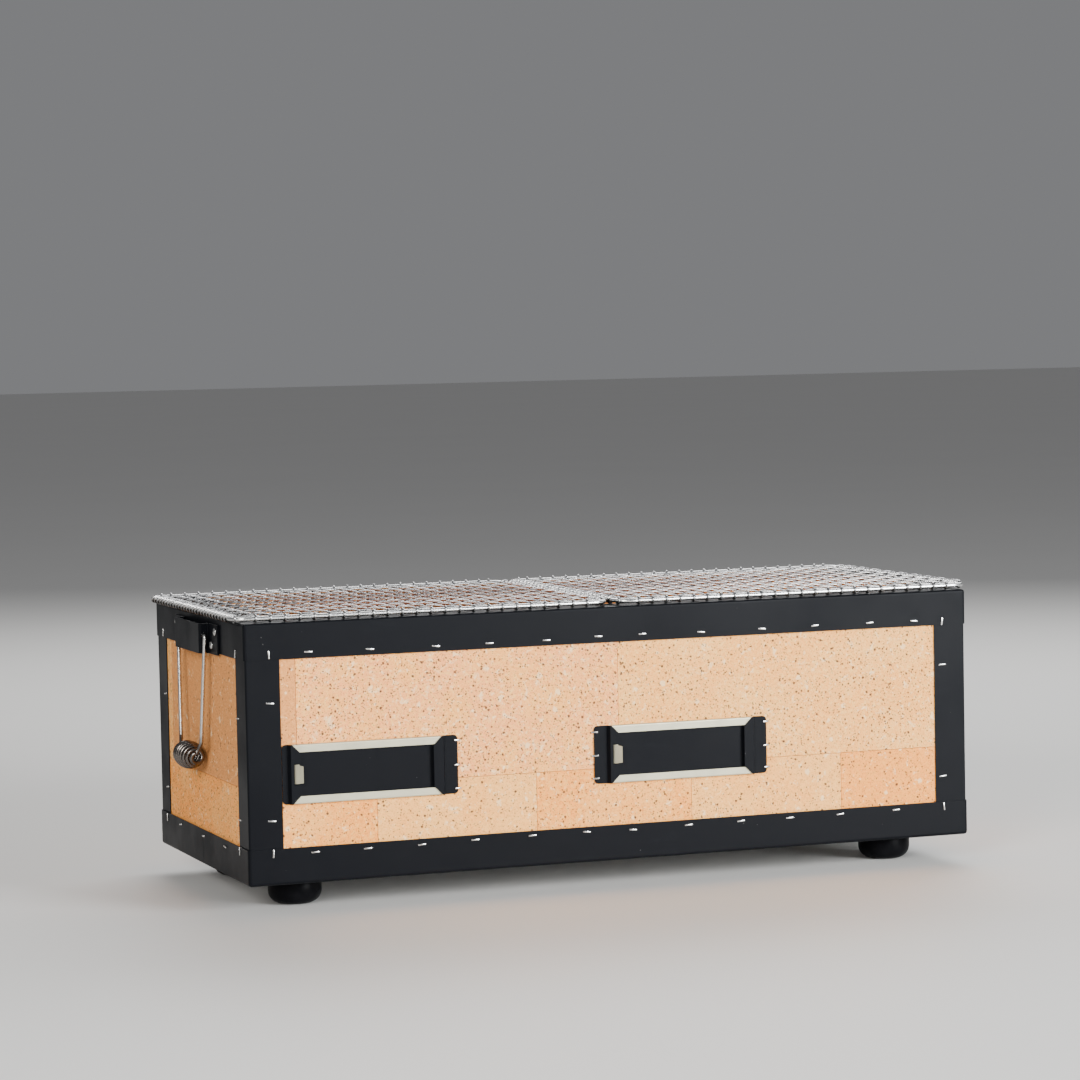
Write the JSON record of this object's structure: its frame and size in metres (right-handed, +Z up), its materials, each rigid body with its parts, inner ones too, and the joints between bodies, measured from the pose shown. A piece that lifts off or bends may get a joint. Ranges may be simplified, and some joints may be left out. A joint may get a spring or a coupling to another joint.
{
  "type": "hibachi grill",
  "caption": "Long table-top charcoal grill: diatomite bricks in black steel angle, with sliding air vents, coil-grip bail handles and lift-off wire nets.",
  "frame": {"origin": "centre of the underside of the bounding box, on the table", "axes": "+X along the grill, +Z up, -Y towards the side with the air vents"},
  "size_m": [0.556, 0.2334, 0.195],
  "materials": {
    "brick": "sawn diatomite brick, matt, with pale flecks and dark pores",
    "casing": "satin black paint on thin sheet steel",
    "bottom_plate": "plain steel sheet",
    "foot": "black moulded rubber",
    "fastener": "plated steel",
    "bracket": "satin black paint on steel",
    "handle_wire": "polished steel wire",
    "net": "bright steel wire",
    "vent_rail": "cream-coloured zinc plating",
    "vent_black": "satin black paint on sheet steel"
  },
  "bodies": {
    "grill_body": {"back_slab_left": "brick", "back_slab_right": "brick", "bottom_band_back": "casing", "bottom_band_front": "casing", "bottom_plate": "bottom_plate", "corner_post_back_left": "casing", "corner_post_back_right": "casing", "corner_post_front_left": "casing", "corner_post_front_right": "casing", "end_slab_left": "brick", "end_slab_right": "brick", "floor_brick_1": "brick", "floor_brick_2": "brick", "floor_brick_3": "brick", "floor_brick_4": "brick", "floor_brick_5": "brick", "foot_left_back": "foot", "foot_left_front": "foot", "foot_right_back": "foot", "foot_right_front": "foot", "foot_screw_left_back": "fastener", "foot_screw_left_front": "fastener", "foot_screw_right_back": "fastener", "foot_screw_right_front": "fastener", "front_slab_left": "brick", "front_slab_right": "brick", "handle_bracket_left": "bracket", "handle_bracket_right": "bracket", "rivet_left_1": "fastener", "rivet_left_2": "fastener", "rivet_left_3": "fastener", "rivet_left_4": "fastener", "rivet_right_1": "fastener", "rivet_right_2": "fastener", "rivet_right_3": "fastener", "rivet_right_4": "fastener", "top_band_back": "casing", "top_band_front": "casing", "vent_left_back_plate": "vent_black", "vent_left_left_stop": "vent_black", "vent_left_lower_rail": "vent_rail", "vent_left_right_stop": "vent_black", "vent_left_upper_rail": "vent_rail", "vent_right_back_plate": "vent_black", "vent_right_left_stop": "vent_black", "vent_right_lower_rail": "vent_rail", "vent_right_right_stop": "vent_black", "vent_right_upper_rail": "vent_rail"},
    "left_vent_door": {"vent_left_door": "vent_black", "vent_left_tab": "vent_rail"},
    "right_vent_door": {"vent_right_door": "vent_black", "vent_right_tab": "vent_rail"},
    "left_handle": {"handle_left": "handle_wire"},
    "right_handle": {"handle_right": "handle_wire"},
    "left_net": {"net_left_rim": "net", "net_left_mesh": "net"},
    "right_net": {"net_right_rim": "net", "net_right_mesh": "net"}
  },
  "joints": [
    {"name": "left_vent_slide", "type": "slide", "parent": "grill_body", "child": "left_vent_door", "axis": [1, 0, 0], "range_m": [0, 0.044]},
    {"name": "right_vent_slide", "type": "slide", "parent": "grill_body", "child": "right_vent_door", "axis": [1, 0, 0], "range_m": [0, 0.044]},
    {"name": "left_handle_pivot", "type": "hinge", "parent": "grill_body", "child": "left_handle", "pos_m": [-0.2645, 0.00266, 0.1775], "axis": [0, 1, 0], "range_deg": [0, 150]},
    {"name": "right_handle_pivot", "type": "hinge", "parent": "grill_body", "child": "right_handle", "pos_m": [0.2645, 0.00266, 0.1775], "axis": [0, -1, 0], "range_deg": [0, 150]},
    {"name": "left_net_lift", "type": "slide", "parent": "grill_body", "child": "left_net", "axis": [0, 0, 1], "range_m": [0, 0.08]},
    {"name": "right_net_lift", "type": "slide", "parent": "grill_body", "child": "right_net", "axis": [0, 0, 1], "range_m": [0, 0.08]}
  ]
}
